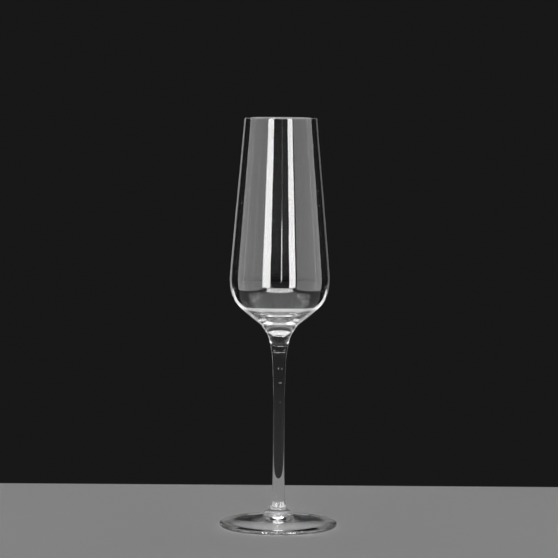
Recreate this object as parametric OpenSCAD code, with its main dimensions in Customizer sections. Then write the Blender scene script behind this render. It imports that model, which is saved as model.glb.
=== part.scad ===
// Champagne flute in clear glass, blown and drawn by hand from three gathers: a tall tapering
// bowl with a thick pointed base, a solid waisted stem, and a shallow conical foot. The gathers
// are fused face to face at two seams, so nothing moves. The origin is the centre of the circle
// that the foot stands on, +Z is up, and every length is in millimetres.

/* [Whole glass] */
// Height from the table to the rim
glass_h = 245; // [235:1:260]
// Height of the seam where the stem meets the bowl
bowl_seam_z = 106; // [90:1:112]
// Height of the seam where the foot meets the stem
foot_seam_z = 11; // [10.6:0.1:13]

/* [Bowl] */
// Outer diameter of the rim
rim_d = 43.8; // [38:0.2:50]
// Outer diameter of the widest ring
belly_d = 60.3; // [56:0.1:66]
// Height of the widest ring above the bowl's seam
belly_rise = 43; // [40:0.5:50]
// Thickness of the blown wall, and of the fire-polished rim
wall_t = 1.2; // [0.9:0.05:1.8]
// Height of the bowl's inner floor above its seam
floor_rise = 19.5; // [19:0.1:24]
// Diameter of the neck at the seam
neck_d = 10; // [9.6:0.1:11]
// Height of the flared neck
neck_h = 10; // [8:0.5:12]
// Diameter at the top of the flared neck
neck_top_d = 15; // [14:0.2:18]
// Height of the short tooled band above the neck
band_h = 5.3; // [4:0.1:7]
// Diameter at the top of the tooled band
band_top_d = 22.2; // [20:0.2:25]
// Slope of the straight flank above the band, from the horizontal
flank_angle = 38.4; // [36:0.2:42]
// Length of the straight flank
flank_len = 11.5; // [9:0.5:13]

/* [Stem] */
// Diameter of the stem's waist
waist_d = 6.74; // [6:0.02:8]
// Diameter of the stem's upper end
stem_top_d = 9.4; // [9:0.1:9.6]
// Diameter of the stem's lower end
stem_base_d = 9.8; // [9:0.1:9.9]

/* [Foot] */
// Diameter of the foot
foot_d = 70.7; // [64:0.1:78]
// Thickness of the foot's rounded edge
edge_t = 2.3; // [1.8:0.1:2.8]
// Diameter of the collar that takes the stem
collar_d = 10.1; // [10:0.1:11]
// Diameter of the domed boss round the collar
boss_d = 17.8; // [16:0.2:20]
// Height of the crease where the boss meets the disc
crease_z = 6.5; // [5.8:0.1:7]
// Depth of the hollow under the foot, at its middle
hollow_h = 3.4; // [2.5:0.1:3.8]
// Width of the flat ring that the foot stands on
rest_w = 3.6; // [2:0.2:5]

/* [Hidden] */
turn_fn = 144;
glass_colour = [0.86, 0.92, 0.94];

// Bowl: the outside from the seam up, then the inside from the rim down
neck_foot = [neck_d / 2, bowl_seam_z];
neck_top = [neck_top_d / 2, bowl_seam_z + neck_h];
band_top = [band_top_d / 2, neck_top.y + band_h];
flank_run = [cos(flank_angle), sin(flank_angle)];
flank_top = band_top + flank_len * flank_run;
belly = [belly_d / 2, bowl_seam_z + belly_rise];
lip_r = wall_t / 2;
lip_centre = [rim_d / 2 - lip_r, glass_h - lip_r];
rim_out = lip_centre + [lip_r, 0];
rim_in = lip_centre - [lip_r, 0];
belly_in = belly - [wall_t, 0];
floor_mid = [0, bowl_seam_z + floor_rise];
neck_pull = 0.36 * neck_h;
flank_pull = 10;
belly_pull = 6;
rim_pull = 10 * [0.07, -1];
floor_drop = 13;
floor_spread = 0.76 * belly_in.x;

// Stem: waist_low and waist_high bound the even stretch
waist_low = [waist_d / 2, 45];
waist_high = [waist_d / 2, 62];
stem_foot = [stem_base_d / 2, foot_seam_z];
stem_head = [stem_top_d / 2, bowl_seam_z];
flare_low = [8.5 / 2, foot_seam_z + 4];
flare_high = [8.84 / 2, bowl_seam_z - 2];

// Foot: the outside from the collar to the edge, then the underside from the ring inwards
collar_top = [collar_d / 2, foot_seam_z];
collar_foot = [collar_d / 2 + 0.3, foot_seam_z - 0.8];
boss_side = [boss_d / 2, crease_z + 0.6];
crease = [boss_d / 2 + 0.3, crease_z];
edge_centre = [foot_d / 2 - edge_t / 2, edge_t / 2];
edge_top = edge_centre + [0, edge_t / 2];
rest_in = [edge_centre.x - rest_w, 0];
hollow_mid = [0, hollow_h];

// The points of a curve from p0 to p3, without p0 itself. It leaves p0 towards p1 and arrives
// from p2, so each pair of points is a tangent.
function curve(p0, p1, p2, p3, steps) = [
    for (i = [1 : steps])
        let (t = i / steps, u = 1 - t)
            u * u * u * p0 + 3 * u * u * t * p1 + 3 * u * t * t * p2 + t * t * t * p3
];

// The points of an arc, both ends included
function arc(centre, r, from, to, steps) = [
    for (i = [0 : steps])
        let (a = from + (to - from) * i / steps)
            centre + r * [cos(a), sin(a)]
];

// The foot: collar, domed boss and shallow disc in one piece, hollow underneath
module foot() {
    color(glass_colour)
        rotate_extrude($fn = turn_fn)
            polygon(concat(
                [[0, foot_seam_z], collar_top],
                curve(collar_top, collar_top - [0, 0.6], collar_foot, collar_foot, 4),
                curve(collar_foot, collar_foot + [2.1, -0.7], boss_side + [0, 1.3], boss_side, 10),
                curve(boss_side, boss_side - [0, 0.4], crease - [0.2, 0], crease, 4),
                curve(crease, crease + [8, -2], edge_top + [-8, 0.7], edge_top, 16),
                arc(edge_centre, edge_t / 2, 80, -90, 17),
                [rest_in],
                curve(rest_in, rest_in - [6, 0], hollow_mid + [12, 0], hollow_mid, 16)
            ));
}

// The stem: solid, waisted, flaring at both ends to its neighbours
module stem() {
    color(glass_colour)
        rotate_extrude($fn = turn_fn)
            polygon(concat(
                [[0, foot_seam_z], stem_foot],
                curve(stem_foot, stem_foot + [0, 1.3], flare_low - [-0.15, 1.8], flare_low, 8),
                curve(flare_low, flare_low + [-0.5, 7], waist_low - [0, 13], waist_low, 12),
                [waist_high],
                curve(waist_high, waist_high + [0, 20], flare_high - [0.82, 8], flare_high, 12),
                curve(flare_high, flare_high + [0.1, 1], stem_head - [0, 0.6], stem_head, 4),
                [[0, bowl_seam_z]]
            ));
}

// The bowl: neck, tooled band and thick base run up into the thin blown wall
module bowl() {
    color(glass_colour)
        rotate_extrude($fn = turn_fn)
            polygon(concat(
                [[0, bowl_seam_z], neck_foot],
                curve(neck_foot, neck_foot + [0, neck_pull], neck_top - [1.1, 2.4], neck_top, 10),
                [band_top],
                [flank_top],
                curve(flank_top, flank_top + flank_pull * flank_run, belly - [0, flank_pull], belly, 16),
                curve(belly, belly + [0, belly_pull], rim_out + rim_pull, rim_out, 20),
                arc(lip_centre, lip_r, 15, 165, 10),
                [rim_in],
                curve(rim_in, rim_in + rim_pull, belly_in + [0, belly_pull], belly_in, 20),
                curve(belly_in, belly_in - [0, floor_drop], floor_mid + [floor_spread, 0], floor_mid, 20)
            ));
}

foot();
stem();
bowl();
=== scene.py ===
# %% [markdown]
# # A champagne flute in clear glass
#
# A flute is made by hand in three gathers of hot glass. The bowl is blown, and its base is left
# thick and drawn down to a short neck. The stem is a solid rod, drawn thinner at its waist. The
# foot is a third gather, pressed into a shallow cone with a domed boss round its collar. The
# gathers are fused face to face, so nothing moves and nothing is hidden inside.
#
# Clear glass has hardly any colour of its own. What we see is its outline, the bent picture of
# what lies behind it, and the lamps mirrored in it. So this lesson spends its effort on exact
# outlines, on seams that light can cross, and on the lamps.

import math

import bmesh
import bpy
from mathutils import Matrix, Vector
from mathutils.geometry import interpolate_bezier


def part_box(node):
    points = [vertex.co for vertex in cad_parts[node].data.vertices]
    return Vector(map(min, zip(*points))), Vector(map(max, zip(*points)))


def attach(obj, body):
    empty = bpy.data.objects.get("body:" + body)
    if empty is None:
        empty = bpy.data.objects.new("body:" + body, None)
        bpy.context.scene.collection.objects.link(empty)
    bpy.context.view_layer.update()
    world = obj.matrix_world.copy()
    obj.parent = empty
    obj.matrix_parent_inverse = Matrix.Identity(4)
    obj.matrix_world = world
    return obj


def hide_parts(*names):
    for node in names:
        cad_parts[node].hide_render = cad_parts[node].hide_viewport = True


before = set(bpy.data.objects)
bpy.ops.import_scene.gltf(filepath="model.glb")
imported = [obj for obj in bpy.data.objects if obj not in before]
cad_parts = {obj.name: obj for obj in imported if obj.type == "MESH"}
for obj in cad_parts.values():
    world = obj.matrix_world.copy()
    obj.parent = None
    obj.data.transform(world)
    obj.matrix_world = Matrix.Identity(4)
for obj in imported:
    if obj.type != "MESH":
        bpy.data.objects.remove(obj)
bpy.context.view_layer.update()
scene = bpy.context.scene

# %% [markdown]
# ## Read the sizes from the frame
#
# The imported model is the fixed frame, so the heights of the two seams, the height of the rim
# and the largest radius of each piece come from its boxes. The finer sizes, such as the wall,
# are named next to the piece that uses them. Points nearer than CLOSE count as one.

# %% Sizes from the frame
MM = 0.001
CLOSE = 0.001 * MM


def radius_of(node):
    """The largest radius of a round CAD node."""
    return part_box(node)[1].x


foot_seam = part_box("stem")[0].z
bowl_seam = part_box("stem")[1].z
rim_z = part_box("bowl")[1].z
foot_r = radius_of("foot")
belly_r = radius_of("bowl")
print(f"seams at {foot_seam:.4f} and {bowl_seam:.4f} m, rim at {rim_z:.4f} m")
print(f"foot radius {foot_r:.4f} m, widest bowl radius {belly_r:.4f} m")

# %% [markdown]
# ## Draw an outline, then spin it
#
# Every gather is a solid of revolution, so each is one closed outline spun round the Z axis.
# The outline is a few named points with Bezier handles between them, as on a drawing board.
# The spin operator turns it into a skin, and use_merge joins its last turn to its first. The
# points on the axis land on top of each other, so they are merged afterwards, and the normals
# are recalculated once the skin is closed.

# %% Outline helpers
TURN_STEPS = 192
ARC_POINTS = 9
SHARP_ANGLE = math.radians(25)


def at(radius, height):
    """A point of an outline, in the XZ plane."""
    return Vector((radius, 0.0, height))


def curve(start, leave, arrive, end, points=ARC_POINTS):
    """The points of a Bezier arc, without its first, so that arcs can follow each other."""
    return interpolate_bezier(start, start + leave, end + arrive, end, points)[1:]


def rounding(centre, radius, first, last, points):
    """The points of a circular arc about centre, from angle first to angle last in degrees."""
    angles = [math.radians(first + (last - first) * i / (points - 1)) for i in range(points)]
    return [centre + radius * at(math.cos(a), math.sin(a)) for a in angles]


def soften(skin, corner, width):
    """Rounds the ring of edges that a corner swept out, as far as the next ring at most."""
    swept = {
        vert for vert in skin.verts
        if abs(vert.co.z - corner.z) < CLOSE and abs(vert.co.xy.length - corner.x) < CLOSE
    }
    rim = [edge for edge in skin.edges if swept.issuperset(edge.verts)]
    bmesh.ops.bevel(
        skin, geom=rim, offset=width, offset_type="OFFSET", segments=4, profile=0.5,
        affect="EDGES", clamp_overlap=True, material=-1,
    )
    print(f"softened {len(rim)} edges at height {corner.z:.4f} m")


def lathe(name, outline, corners=()):
    """Spins an outline from axis to axis into a closed, smooth-shaded piece."""
    skin = bmesh.new()
    ring = [skin.verts.new(point) for point in outline]
    edges = [skin.edges.new(pair) for pair in zip(ring, ring[1:])]
    bmesh.ops.spin(
        skin, geom=ring + edges, cent=(0, 0, 0), axis=(0, 0, 1), dvec=(0, 0, 0),
        angle=math.tau, steps=TURN_STEPS, use_merge=True, use_duplicate=False,
    )
    bmesh.ops.remove_doubles(skin, verts=skin.verts, dist=CLOSE)
    for corner, width in corners:
        soften(skin, corner, width)
    bmesh.ops.recalc_face_normals(skin, faces=skin.faces)
    open_edges = [edge for edge in skin.edges if len(edge.link_faces) != 2]
    for face in skin.faces:
        face.smooth = True
    for edge in skin.edges:
        edge.smooth = edge.calc_face_angle(0.0) < SHARP_ANGLE
    mesh = bpy.data.meshes.new(name)
    skin.to_mesh(mesh)
    skin.free()
    piece = bpy.data.objects.new(name, mesh)
    scene.collection.objects.link(piece)
    print(f"{name}: {len(outline)} outline points, {len(mesh.polygons)} faces,",
          f"{len(open_edges)} open edges")
    return piece


# %% [markdown]
# ## The foot
#
# The foot's outline runs from the seam with the stem out over the collar, the domed boss and
# the disc, round the fire-polished edge, and back under the hollow. The glass stands on a flat
# ring just inside the edge. The face that is fused to the stem gets a point of its own where
# the stem ends, so that it can have its own material later.

# %% Shape the foot
collar_r = 5.05 * MM
boss_r = 8.9 * MM
crease_z = 6.5 * MM
edge_r = 1.15 * MM
rest_width = 3.6 * MM
hollow_z = 3.4 * MM
stem_base_r = 4.9 * MM
boss_step = 0.3 * MM

collar_top = at(collar_r, foot_seam)
collar_foot = collar_top + at(0.3 * MM, -0.8 * MM)
boss_side = at(boss_r, crease_z + 0.6 * MM)
crease = at(boss_r + boss_step, crease_z)
edge_centre = at(foot_r - edge_r, edge_r)
edge_top = edge_centre + at(0, edge_r)
rest_inner = at(edge_centre.x - rest_width, 0)
hollow_top = at(0, hollow_z)

foot_outline = (
    [at(0, foot_seam), at(stem_base_r, foot_seam), collar_top]
    + curve(collar_top, at(0, -0.6 * MM), at(0, 0), collar_foot)
    + curve(collar_foot, at(2.1 * MM, -0.7 * MM), at(0, 1.3 * MM), boss_side, 13)
    + curve(boss_side, at(0, -0.4 * MM), at(-0.2 * MM, 0), crease)
    + curve(crease, at(8 * MM, -2 * MM), at(-8 * MM, 0.7 * MM), edge_top, 25)
    + rounding(edge_centre, edge_r, 82, -90, 21)
    + [rest_inner]
    + curve(rest_inner, at(-6 * MM, 0), at(12 * MM, 0), hollow_top, 25)
)
foot = lathe("foot_glass", foot_outline, [(crease, 0.35 * MM)])

# %% [markdown]
# ## The stem
#
# The stem is drawn from a short rod, so it is thinnest at the waist and flares where it was
# fused to its neighbours. Its two end faces are flat, and the seams lie on them.

# %% Shape the stem
waist_r = 3.37 * MM
waist_from = 45 * MM
waist_to = 62 * MM
stem_head_r = 4.7 * MM

stem_base = at(stem_base_r, foot_seam)
flare_low = at(4.25 * MM, foot_seam + 4 * MM)
waist_low = at(waist_r, waist_from)
waist_high = at(waist_r, waist_to)
flare_high = at(4.42 * MM, bowl_seam - 2 * MM)
stem_head = at(stem_head_r, bowl_seam)

stem_outline = (
    [at(0, foot_seam), stem_base]
    + curve(stem_base, at(0, 1.3 * MM), at(0.15 * MM, -1.8 * MM), flare_low)
    + curve(flare_low, at(-0.5 * MM, 7 * MM), at(0, -13 * MM), waist_low, 17)
    + curve(waist_low, at(0, 6 * MM), at(0, -6 * MM), waist_high)
    + curve(waist_high, at(0, 20 * MM), at(-0.82 * MM, -8 * MM), flare_high, 21)
    + curve(flare_high, at(0.1 * MM, 1 * MM), at(0, -0.6 * MM), stem_head)
    + [at(0, bowl_seam)]
)
stem = lathe("stem_glass", stem_outline)

# %% [markdown]
# ## The bowl
#
# The bowl's outline goes up the outside and down the inside. Outside: the flared neck, the
# short tooled band with a fine arris above and below it, the straight flank, the widest ring
# and the long wall. Then the rim, melted round by the flame. Inside, the thin wall thickens
# below the widest ring, and the floor is a soft bowl over thick glass.

# %% Shape the bowl
neck_r = 5.0 * MM
neck_height = 10 * MM
band_height = 5.3 * MM
flank_length = 11.5 * MM
flank_angle = math.radians(38.4)
belly_rise = 43 * MM
wall = 1.2 * MM
rim_r = 21.9 * MM
floor_rise = 19.5 * MM

neck_foot = at(neck_r, bowl_seam)
neck_top = at(7.5 * MM, bowl_seam + neck_height)
band_top = at(11.1 * MM, neck_top.z + band_height)
flank_run = at(math.cos(flank_angle), math.sin(flank_angle))
flank_top = band_top + flank_length * flank_run
belly = at(belly_r, bowl_seam + belly_rise)
lip_r = wall / 2
lip_centre = at(rim_r - lip_r, rim_z - lip_r)
rim_out = lip_centre + at(lip_r, 0)
rim_in = lip_centre - at(lip_r, 0)
belly_in = belly - at(wall, 0)
floor_mid = at(0, bowl_seam + floor_rise)
rim_pull = at(0.7 * MM, -10 * MM)

bowl_outline = (
    [at(0, bowl_seam), at(stem_head_r, bowl_seam), neck_foot]
    + curve(neck_foot, at(0, 3.6 * MM), at(-1.1 * MM, -2.4 * MM), neck_top, 17)
    + curve(neck_top, at(1.2 * MM, 1.767 * MM), at(-1.2 * MM, -1.767 * MM), band_top)
    + curve(band_top, 3.8 * MM * flank_run, -3.8 * MM * flank_run, flank_top)
    + curve(flank_top, 10 * MM * flank_run, at(0, -10 * MM), belly, 29)
    + curve(belly, at(0, 6 * MM), rim_pull, rim_out, 41)
    + rounding(lip_centre, lip_r, 12, 168, 14)
    + [rim_in]
    + curve(rim_in, rim_pull, at(0, 6 * MM), belly_in, 41)
    + curve(belly_in, at(0, -13 * MM), at(0.76 * belly_in.x, 0), floor_mid, 41)
)
bowl = lathe("bowl_glass", bowl_outline, [(neck_top, 0.4 * MM), (band_top, 0.5 * MM)])

# %% [markdown]
# ## Seeds in the stem
#
# Hand-made glass keeps a few seeds: gas bubbles smaller than a pinhead, drawn long with the
# stem. A seed is a void, so its skin faces the gas inside it and away from the glass. Each one
# is a small sphere, stretched upright and turned inside out, and it is added to the stem's own
# mesh.

# %% Add the seeds
SEEDS = (
    # across, depth, height and radius in millimetres, and the upright stretch
    (-0.3, -0.9, 95.4, 0.28, 2.6),
    (1.2, -0.9, 95.0, 0.32, 1.2),
    (0.6, -0.6, 75.0, 0.14, 3.0),
)


def add_seeds(piece):
    """Adds every seed to a piece, as a closed skin that faces its own gas."""
    skin = bmesh.new()
    skin.from_mesh(piece.data)
    for across, depth, height, radius, stretch in SEEDS:
        shape = Matrix.Translation(Vector((across, depth, height)) * MM)
        shape @= Matrix.Diagonal((radius * MM, radius * MM, radius * stretch * MM, 1))
        seed = bmesh.ops.create_uvsphere(skin, u_segments=12, v_segments=8, radius=1, matrix=shape)
        faces = {face for vert in seed["verts"] for face in vert.link_faces}
        bmesh.ops.reverse_faces(skin, faces=list(faces))
        for face in faces:
            face.smooth = True
    skin.to_mesh(piece.data)
    skin.free()
    print(f"{piece.name}: {len(SEEDS)} seeds")


add_seeds(stem)

# %% [markdown]
# ## Two effects that every gather shares
#
# Drawn glass is never optically flat. It keeps a faint ripple from the pull, with waves 3 to 9 mm
# across and at most a fiftieth of a millimetre deep, so it only shows where a lamp's edge is
# mirrored. And a glass that has stood for a day has a few specks of dust, at most 0.65 mm
# across. They scatter a little of the light, and most of them hardly show.
#
# Both could be baked pictures, but a noise that reads Object coordinates has no seam and keeps
# its scale in millimetres. Each effect is a node group with named inputs. It puts out only a
# height or a mask, and the shader stays outside it.

# %% Build the ripple and the dust
def add_group(name, inputs, output):
    """A shader node group with a Vector and float inputs, and one float output."""
    group = bpy.data.node_groups.new(name, "ShaderNodeTree")
    group.interface.new_socket("Vector", in_out="INPUT", socket_type="NodeSocketVector")
    for socket in inputs:
        group.interface.new_socket(socket, in_out="INPUT", socket_type="NodeSocketFloat")
    group.interface.new_socket(output, in_out="OUTPUT", socket_type="NodeSocketFloat")
    return group, group.nodes.new("NodeGroupInput"), group.nodes.new("NodeGroupOutput")


def make_ripple_group():
    """Noise stretched along the draw. Across and Along are its waves per metre."""
    group, given, result = add_group("drawn_ripple", ["Across", "Along"], "Height")
    waves = group.nodes.new("ShaderNodeCombineXYZ")
    scaled = group.nodes.new("ShaderNodeVectorMath")
    scaled.operation = "MULTIPLY"
    noise = group.nodes.new("ShaderNodeTexNoise")
    noise.inputs["Scale"].default_value = 1
    noise.inputs["Detail"].default_value = 1
    link = group.links.new
    link(given.outputs["Across"], waves.inputs["X"])
    link(given.outputs["Across"], waves.inputs["Y"])
    link(given.outputs["Along"], waves.inputs["Z"])
    link(given.outputs["Vector"], scaled.inputs[0])
    link(waves.outputs["Vector"], scaled.inputs[1])
    link(scaled.outputs["Vector"], noise.inputs["Vector"])
    link(noise.outputs["Fac"], result.inputs["Height"])
    return group


def make_dust_group():
    """Sparse round specks: cells per metre, radius in cells, and the share of cells with one.

    Each cell has a random colour, so its red is a fair draw between 0 and 1.
    """
    group, given, result = add_group("dust_specks", ["Cells", "Size", "Share"], "Mask")
    cells = group.nodes.new("ShaderNodeTexVoronoi")
    near = group.nodes.new("ShaderNodeMath")
    near.operation = "LESS_THAN"
    channels = group.nodes.new("ShaderNodeSeparateColor")
    chosen = group.nodes.new("ShaderNodeMath")
    chosen.operation = "LESS_THAN"
    both = group.nodes.new("ShaderNodeMath")
    both.operation = "MULTIPLY"
    link = group.links.new
    link(given.outputs["Vector"], cells.inputs["Vector"])
    link(given.outputs["Cells"], cells.inputs["Scale"])
    link(cells.outputs["Distance"], near.inputs[0])
    link(given.outputs["Size"], near.inputs[1])
    link(cells.outputs["Color"], channels.inputs["Color"])
    link(channels.outputs["Red"], chosen.inputs[0])
    link(given.outputs["Share"], chosen.inputs[1])
    link(near.outputs["Value"], both.inputs[0])
    link(chosen.outputs["Value"], both.inputs[1])
    link(both.outputs["Value"], result.inputs["Mask"])
    return group


ripple_group = make_ripple_group()
dust_group = make_dust_group()
print("groups:", ripple_group.name, dust_group.name)

# %% [markdown]
# ## Clear glass
#
# Clear glass is a Principled shader with full transmission and the index of soda-lime glass.
# Its colour is a shade under white, because even clear glass takes a little light. The same
# recipe makes all three gathers, but each has its own ripple: the bowl was blown, so its waves
# are broad, the stem was pulled, so its waves are narrow and long, and the foot was spun, so its
# waves are as long as they are wide.

# %% Make the glass
IOR = 1.52
CLEAR = (0.985, 0.99, 0.99, 1)
SPECKS = {"Cells": 220, "Size": 0.07, "Share": 0.15}
SPECK_ROUGHNESS = 0.5


def new_material(name):
    """A material with only its output and its Principled shader."""
    material = bpy.data.materials.new(name)
    material.use_nodes = True
    tree = material.node_tree
    tree.nodes.clear()
    output = tree.nodes.new("ShaderNodeOutputMaterial")
    shader = tree.nodes.new("ShaderNodeBsdfPrincipled")
    tree.links.new(shader.outputs["BSDF"], output.inputs["Surface"])
    return material, tree, shader


def place_group(tree, group, vector, **values):
    """Puts a group in a material, fed by a vector, with its own values."""
    node = tree.nodes.new("ShaderNodeGroup")
    node.node_tree = group
    tree.links.new(vector, node.inputs["Vector"])
    for name, value in values.items():
        node.inputs[name].default_value = value
    return node


def make_glass(name, across, along, depth):
    """Clear glass with ripple waves per metre across and along the draw, and dust."""
    material, tree, shader = new_material(name)
    shader.inputs["Base Color"].default_value = CLEAR
    shader.inputs["IOR"].default_value = IOR
    shader.inputs["Transmission Weight"].default_value = 1.0
    where = tree.nodes.new("ShaderNodeTexCoord").outputs["Object"]
    ripple = place_group(tree, ripple_group, where, Across=across, Along=along)
    bump = tree.nodes.new("ShaderNodeBump")
    bump.inputs["Strength"].default_value = 1.0
    bump.inputs["Distance"].default_value = depth
    tree.links.new(ripple.outputs["Height"], bump.inputs["Height"])
    tree.links.new(bump.outputs["Normal"], shader.inputs["Normal"])
    dust = place_group(tree, dust_group, where, **SPECKS)
    rough = tree.nodes.new("ShaderNodeMath")
    rough.operation = "MULTIPLY"
    rough.inputs[1].default_value = SPECK_ROUGHNESS
    tree.links.new(dust.outputs["Mask"], rough.inputs[0])
    tree.links.new(rough.outputs["Value"], shader.inputs["Roughness"])
    return material


bowl_crystal = make_glass("blown_crystal", 110, 14, 0.02 * MM)
stem_crystal = make_glass("pulled_crystal", 320, 12, 0.004 * MM)
foot_crystal = make_glass("spun_crystal", 160, 160, 0.01 * MM)

# %% [markdown]
# ## The fused seams
#
# At a fused seam there is no surface any more: light goes straight from one gather into the
# next. Each piece is a closed solid of its own, though, so two faces lie on each other there. A
# glass shader on them would bend the light as if a film of air lay between. So those faces get
# their own material. It is clear, except at a grazing angle, where the slight difference between
# two batches of glass mirrors the light, and the seam shows as a thin bright ring. A Facing
# value of 0 is square on and 1 is edge on.

# %% Make the joint
GRAZE_START = 0.86
GRAZE_FULL = 0.92
GRAZE_COVER = 0.5
JOINT_ROUGHNESS = 0.03


def make_joint(name):
    """Clear where it is looked at squarely, half a mirror where it is seen edge on."""
    material, tree, shader = new_material(name)
    shader.inputs["Base Color"].default_value = (1, 1, 1, 1)
    shader.inputs["Metallic"].default_value = 1.0
    shader.inputs["Roughness"].default_value = JOINT_ROUGHNESS
    graze = tree.nodes.new("ShaderNodeLayerWeight")
    cover = tree.nodes.new("ShaderNodeMapRange")
    cover.inputs["From Min"].default_value = GRAZE_START
    cover.inputs["From Max"].default_value = GRAZE_FULL
    cover.inputs["To Max"].default_value = GRAZE_COVER
    tree.links.new(graze.outputs["Facing"], cover.inputs["Value"])
    tree.links.new(cover.outputs["Result"], shader.inputs["Alpha"])
    return material


joint = make_joint("fused_joint")


def finish_glass(piece, crystal, seams):
    """Gives a piece its glass, and the joint material on its fused faces."""
    piece.data.materials.append(crystal)
    piece.data.materials.append(joint)
    fused = 0
    for face in piece.data.polygons:
        points = [piece.data.vertices[i].co for i in face.vertices]
        for height, radius in seams:
            level = all(abs(point.z - height) < CLOSE for point in points)
            within = all(point.xy.length < radius + CLOSE for point in points)
            if level and within:
                face.material_index = 1
                fused += 1
    print(f"{piece.name}: {fused} fused faces of {len(piece.data.polygons)}")


foot_joint = (foot_seam, stem_base_r)
bowl_joint = (bowl_seam, stem_head_r)
finish_glass(foot, foot_crystal, [foot_joint])
finish_glass(stem, stem_crystal, [foot_joint, bowl_joint])
finish_glass(bowl, bowl_crystal, [bowl_joint])

# %% [markdown]
# ## Tie the pieces to the frame
#
# Nothing on a glass moves, so every piece rides on the one body. Each stands for its CAD node,
# which is hidden but stays in the frame for collision.

# %% Ride, and hide the CAD nodes
for piece, node in ((foot, "foot"), (stem, "stem"), (bowl, "bowl")):
    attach(piece, "root")
    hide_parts(node)
print("three gathers ride on the body")

# %% [markdown]
# ## The floor
#
# A plain pale table top. Glass shows whatever is behind it, so the top ends 150 mm behind the
# axis of the glass, and the stem and the bowl stand against the dark of the studio. It lies a
# hair's breadth under the foot, so that the two flat faces don't flicker.

# %% Lay the floor
FLOOR_BACK = 150 * MM
FLOOR_SIZE = 6.0
FLOOR_GAP = 0.2 * MM
PALE_GREY = (0.7, 0.7, 0.7, 1)
FLOOR_ROUGHNESS = 0.7

floor_skin = bmesh.new()
bmesh.ops.create_grid(floor_skin, x_segments=1, y_segments=1, size=FLOOR_SIZE / 2)
bmesh.ops.translate(
    floor_skin, verts=floor_skin.verts, vec=(0, FLOOR_BACK - FLOOR_SIZE / 2, -FLOOR_GAP)
)
floor_mesh = bpy.data.meshes.new("floor")
floor_skin.to_mesh(floor_mesh)
floor_skin.free()
floor = bpy.data.objects.new("floor", floor_mesh)
scene.collection.objects.link(floor)

floor_paint, floor_tree, floor_shader = new_material("pale_floor")
floor_shader.inputs["Base Color"].default_value = PALE_GREY
floor_shader.inputs["Roughness"].default_value = FLOOR_ROUGHNESS
floor.data.materials.append(floor_paint)
print("floor ends", FLOOR_BACK, "m behind the axis")

# %% [markdown]
# ## Softboxes for glass
#
# Glass is lit by what it mirrors, so each lamp is a softbox placed where the surface looks. A
# box is also seen straight through clear glass, and from another side the bowl would then look
# filled with milk. So most boxes have their transmission visibility switched off: the glass
# mirrors them, and nobody sees them through it. The boxes low behind the glass, the one high in
# front and the canopy keep it, because the thick base of the bowl and the foot gather their
# light.

# %% Lamp helpers
def softbox(name, place, target, width, height, radiance, seen_through=False):
    """A lamp of a given size and brightness at a place, turned to face a target."""
    lamp = bpy.data.lights.new(name, "AREA")
    lamp.shape = "RECTANGLE"
    lamp.size = width
    lamp.size_y = height
    lamp.energy = radiance * math.pi * width * height
    holder = bpy.data.objects.new(name, lamp)
    holder.location = place
    holder.rotation_mode = "QUATERNION"
    holder.rotation_quaternion = (Vector(place) - Vector(target)).to_track_quat("Z", "Y")
    holder.visible_camera = False
    holder.visible_transmission = seen_through
    scene.collection.objects.link(holder)


def upright_box(name, first, last, reach, low, high, radiance, seen_through=False):
    """An upright softbox round the glass, from one compass angle to another, 0 in front."""
    middle = math.radians((first + last) / 2)
    half = math.radians(abs(last - first) / 2)
    way = Vector((math.sin(middle), -math.cos(middle), 0))
    height = Vector((0, 0, (low + high) / 2))
    place = way * reach * math.cos(half) + height
    width = 2 * reach * math.sin(half)
    softbox(name, place, height, width, high - low, radiance, seen_through)


# %% [markdown]
# ## Set the lamps
#
# Two tall panels stand beside the glass and give the broad grey bands on the bowl. A brighter
# strip at each panel's front edge gives the two white bands beside the dark middle, and narrow
# boxes in front of the panels add fine streaks. Weak boxes behind draw the outline, where the
# wall is so slanted that it mirrors nearly all the light. The low boxes behind the table are
# what the thick base of the bowl gathers, and make its shoulder white. A slim catch light
# beside the camera draws the fine line down the middle, and a fainter one above it continues
# the line up to the rim. The box high in front gives the short white bar low in the bowl and
# highlights on the foot, and the canopy overhead lights the floor.
#
# An upright box is given by its two compass angles in degrees, its distance and its lower and
# upper end in metres, and its brightness. The last two are given by place, target, width,
# height and brightness. True marks a box that is seen through the glass.

# %% Place the lamps
BESIDE = 0.45
BEFORE_PANEL = 0.44
BEHIND = 0.6
FAR_BEHIND = 2.0
BY_CAMERA = 1.75
PANEL_SPAN = (0.04, 0.42)
STRIP_SPAN = (0.06, 0.42)
LOW_SPAN = (-1.3, -0.36)
STRIP_ENDS = {"left": 38, "right": 35}

for side, name in ((-1, "left"), (1, "right")):
    upright_box(f"panel_{name}", side * 38, side * 108, BESIDE, *PANEL_SPAN, 3.0)
    upright_box(f"strip_{name}", side * 20.5, side * STRIP_ENDS[name], BESIDE, *STRIP_SPAN, 19)
    upright_box(f"streak_{name}", side * 86, side * 90, BEFORE_PANEL, *PANEL_SPAN, 0.9)
    upright_box(f"low_{name}", side * 142, side * 166, FAR_BEHIND, *LOW_SPAN, 1.4, True)
upright_box("low_back", 166, 194, FAR_BEHIND, *LOW_SPAN, 0.7, True)
upright_box("fine_streak", -60, -63, BEFORE_PANEL, *PANEL_SPAN, 0.7)
upright_box("outline_left", -140, -158, BEHIND, 0.0, 0.5, 0.9)
upright_box("outline_right", 140, 156, BEHIND, 0.0, 0.5, 0.4)
upright_box("catch_light", 3.0, 4.8, BY_CAMERA, 0.16, 0.4, 18)
upright_box("catch_light_top", 3.2, 5.0, BY_CAMERA, 0.4, 0.8, 2.5)
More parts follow.
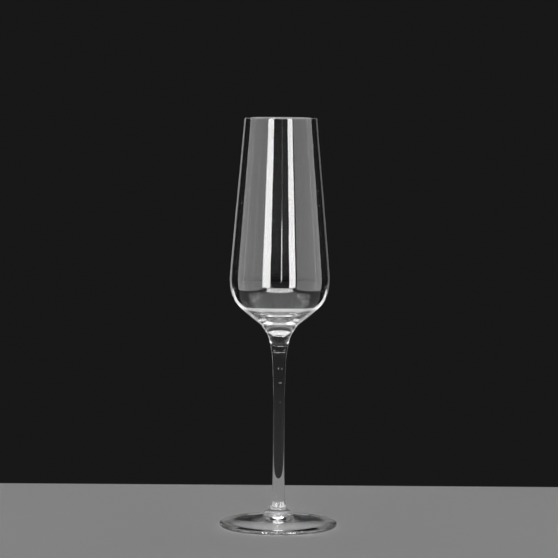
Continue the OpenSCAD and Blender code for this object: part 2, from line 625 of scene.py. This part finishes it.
softbox("front_top", (0, -0.5, 0.63), (0, 0, 0.13), 0.8, 0.25, 8, True)
softbox("canopy", (0, 0, 0.95), (0, 0, 0), 1.3, 1.3, 0.9, True)

DARK_STUDIO = (0.009, 0.009, 0.009, 1)
world = bpy.data.worlds.new("studio")
world.use_nodes = True
world.node_tree.nodes["Background"].inputs["Color"].default_value = DARK_STUDIO
scene.world = world
lamps = [thing for thing in scene.objects if thing.type == "LIGHT"]
print("lamps:", len(lamps))

# %% [markdown]
# The floor is a plain one, so only the canopy reaches it. Light linking does that: every other
# lamp is given a collection that excludes the floor, and goes on lighting everything else.

# %% Keep the softboxes off the floor
not_floor = bpy.data.collections.new("keeps_off_floor")
not_floor.objects.link(floor)
not_floor.collection_objects[0].light_linking.link_state = "EXCLUDE"
for lamp in lamps:
    if lamp.name != "canopy":
        lamp.light_linking.receiver_collection = not_floor
print("softboxes kept off the floor:", len(lamps) - 1)

# %% [markdown]
# ## The camera
#
# A long lens from about a metre and a half away, a little above the rim and tilted down, so that
# the rim is seen almost edge on and the foot as a narrow ellipse. Clear glass sends light through
# many surfaces before it comes out, so the light paths are allowed many bounces. The Standard
# view keeps the white bands white.

# %% Aim the camera
CAMERA_PLACE = (-0.0005, -1.45, 0.262)
SENSOR = 36
LENS = 157.1
LOOK_DOWN = 4.467
ROLL = 0.407

camera_data = bpy.data.cameras.new("camera")
camera_data.sensor_width = SENSOR
camera_data.lens = LENS
camera = bpy.data.objects.new("camera", camera_data)
camera.location = CAMERA_PLACE
tilt = Matrix.Rotation(math.radians(90 - LOOK_DOWN), 4, "X")
turned = tilt @ Matrix.Rotation(math.radians(ROLL), 4, "Z")
camera.rotation_euler = turned.to_euler()
scene.collection.objects.link(camera)
scene.camera = camera

scene.view_settings.view_transform = "Standard"
scene.cycles.max_bounces = 32
scene.cycles.transmission_bounces = 32
scene.cycles.glossy_bounces = 16
scene.cycles.transparent_max_bounces = 32
scene.cycles.use_adaptive_sampling = False
scene.cycles.use_denoising = True
print("camera at", CAMERA_PLACE, "with a lens of", LENS, "mm")
